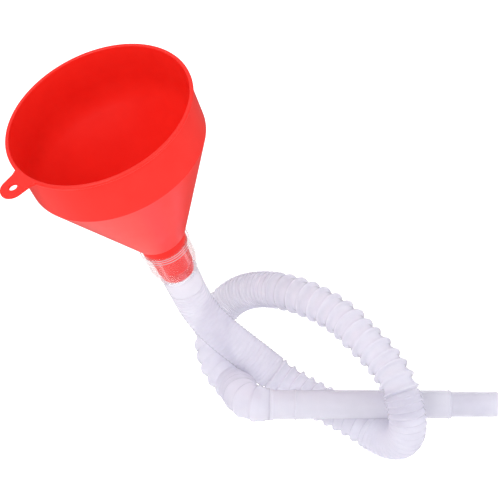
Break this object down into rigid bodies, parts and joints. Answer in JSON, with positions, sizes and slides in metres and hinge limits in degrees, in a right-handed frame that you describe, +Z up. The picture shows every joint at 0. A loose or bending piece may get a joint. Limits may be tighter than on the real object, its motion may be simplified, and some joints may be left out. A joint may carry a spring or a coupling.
{
  "type": "pouring funnel with flexible hose",
  "caption": "Wide pouring funnel with a hang tab, pushed into the clear cuff of a corrugated hose that lies in a loose knot and ends in a smooth stepped nozzle pipe.",
  "frame": {"origin": "on the surface that the hose lies on, straight below the middle of the cuff's mouth, where the funnel enters the hose", "axes": "+Z up from the surface, +X along the nozzle pipe towards its tip and away from the side to which the funnel leans, +Y to the side of the hose's wide bend"},
  "size_m": [0.3619, 0.1864, 0.2934],
  "materials": {
    "funnel_plastic": "red polyethylene, slightly see-through, soft gloss",
    "cuff_plastic": "clear milky soft plastic, glossy",
    "hose_plastic": "milky corrugated polyethylene, glossy ribs",
    "nozzle_plastic": "milky smooth polyethylene, soft gloss"
  },
  "bodies": {
    "hose": {"hose_cuff": "cuff_plastic", "flexible_hose": "hose_plastic", "tail_cuff": "nozzle_plastic", "nozzle_pipe": "nozzle_plastic"},
    "funnel": {"funnel_bowl": "funnel_plastic", "hang_tab": "funnel_plastic"}
  },
  "joints": [
    {"name": "funnel_pull", "type": "slide", "parent": "hose", "child": "funnel", "axis": [-0.3118, 0, 0.9501], "range_m": [0, 0.04]}
  ]
}
